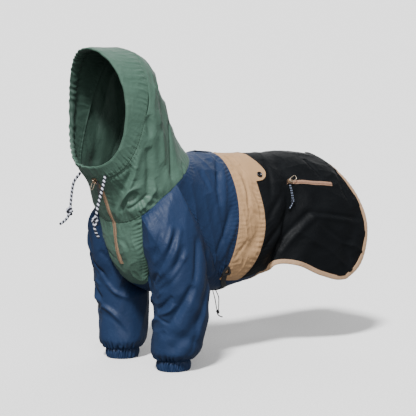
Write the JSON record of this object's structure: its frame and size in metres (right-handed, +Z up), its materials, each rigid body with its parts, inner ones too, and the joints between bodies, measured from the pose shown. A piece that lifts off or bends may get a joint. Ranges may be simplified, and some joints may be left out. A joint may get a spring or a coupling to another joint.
{
  "type": "dog jacket",
  "caption": "Hooded dog jacket with sleeves, standing open as worn: colour-blocked panels, throat zip, leash slit, flap with snaps, zip pocket, bound hem and belly strap.",
  "frame": {"origin": "centre of the back neck seam, on the inside of the cloth, where the jacket hangs on the wearer's withers", "axes": "+X along the back towards the tail, +Y towards the wearer's right, +Z up"},
  "size_m": [0.6564, 0.2822, 0.6034],
  "materials": {
    "green_cloth": "satin",
    "navy_cloth": "satin",
    "tan_cloth": "matte",
    "black_cloth": "satin",
    "zip_tape": "matte",
    "metal": "satin",
    "ring_wire": "satin",
    "drawcord": "matte",
    "webbing": "matte",
    "plastic": "matte"
  },
  "bodies": {
    "jacket": {"back_panel": "black_cloth", "belly_buckle": "plastic", "belly_cord_a": "drawcord", "belly_cord_b": "drawcord", "belly_cord_knot": "drawcord", "belly_panel": "navy_cloth", "belly_strap": "webbing", "chest_cord_a": "drawcord", "chest_cord_b": "drawcord", "chest_panel": "green_cloth", "chest_slider": "metal", "chest_zip": "zip_tape", "cuff_left": "navy_cloth", "cuff_right": "navy_cloth", "drawcord_left": "drawcord", "drawcord_left_knot": "drawcord", "drawcord_right": "drawcord", "drawcord_right_knot": "drawcord", "hem_binding": "tan_cloth", "hood_brim": "green_cloth", "hood_left": "green_cloth", "hood_right": "green_cloth", "pocket_cord_a": "drawcord", "pocket_cord_b": "drawcord", "pocket_cord_knot": "drawcord", "pocket_slider": "metal", "pocket_zip": "zip_tape", "sleeve_left": "navy_cloth", "sleeve_right": "navy_cloth", "snap_left": "metal", "snap_right": "metal", "tail_tab": "webbing", "waist_band": "tan_cloth", "yoke": "navy_cloth"},
    "chest_ring": {"chest_pull": "ring_wire"},
    "pocket_ring": {"pocket_pull": "ring_wire"}
  },
  "joints": [
    {"name": "chest_ring_swing", "type": "hinge", "parent": "jacket", "child": "chest_ring", "pos_m": [-0.21302, 0, -0.0406], "axis": [0, 1, 0], "range_deg": [-60, 95]},
    {"name": "pocket_ring_swing", "type": "hinge", "parent": "jacket", "child": "pocket_ring", "pos_m": [0.2101, -0.07604, -0.06041], "axis": [0.4209, -0.3874, -0.8202], "range_deg": [-8, 150]}
  ]
}
